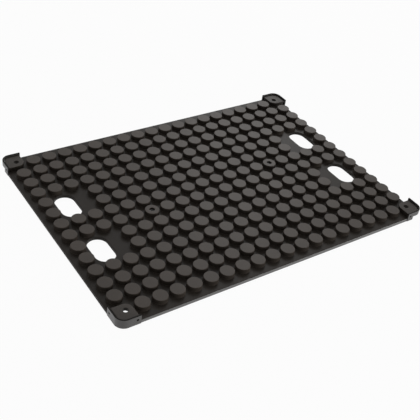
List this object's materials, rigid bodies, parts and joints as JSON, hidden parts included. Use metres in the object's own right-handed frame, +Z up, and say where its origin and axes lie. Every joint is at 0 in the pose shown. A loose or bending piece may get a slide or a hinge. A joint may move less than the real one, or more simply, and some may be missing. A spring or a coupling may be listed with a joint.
{
  "type": "seedling heat mat",
  "caption": "Flat rubber heat mat with round studs, corner guards, screw-down bosses, hand slots and a sealed heating cable layer underneath",
  "frame": {"origin": "the middle of the underside, on the surface that the mat lies on", "axes": "+X along the long edges to the right, +Y across the mat away from the viewer, +Z up through the studs"},
  "size_m": [0.5112, 0.3672, 0.014],
  "materials": {
    "cover_rubber": "matte black moulded rubber",
    "guard_plastic": "finely textured black plastic",
    "sheet_plastic": "matte black sheet",
    "seal_rubber": "matte soft rubber",
    "foil": "bright foil",
    "cable_jacket": "satin silicone rubber",
    "tape": "matte glass-cloth tape",
    "felt": "pressed felt",
    "cutout_metal": "tinned metal",
    "sleeve_fibre": "woven glass fibre",
    "brass": "plain brass",
    "neutral_insulation": "satin insulation",
    "live_insulation": "satin insulation",
    "inlet_plastic": "matte black plastic",
    "screw_steel": "black oxide steel"
  },
  "bodies": {
    "root": {"stud_cover": "cover_rubber", "base_sheet": "sheet_plastic", "edge_seal": "seal_rubber", "heat_spreader": "foil", "heating_cable": "cable_jacket", "cable_tape_1": "tape", "cable_tape_2": "tape", "cable_tape_3": "tape", "insulation_pad": "felt", "thermal_cutout": "cutout_metal", "cutout_sleeve": "sleeve_fibre", "splice_neutral": "brass", "splice_cutout": "brass", "splice_live": "brass", "neutral_lead": "neutral_insulation", "live_lead": "live_insulation", "inlet_body": "inlet_plastic", "inlet_pins": "brass", "fixing_screws": "screw_steel", "corner_guard_front_left": "guard_plastic", "corner_guard_front_right": "guard_plastic", "corner_guard_back_left": "guard_plastic", "corner_guard_back_right": "guard_plastic"}
  },
  "joints": []
}
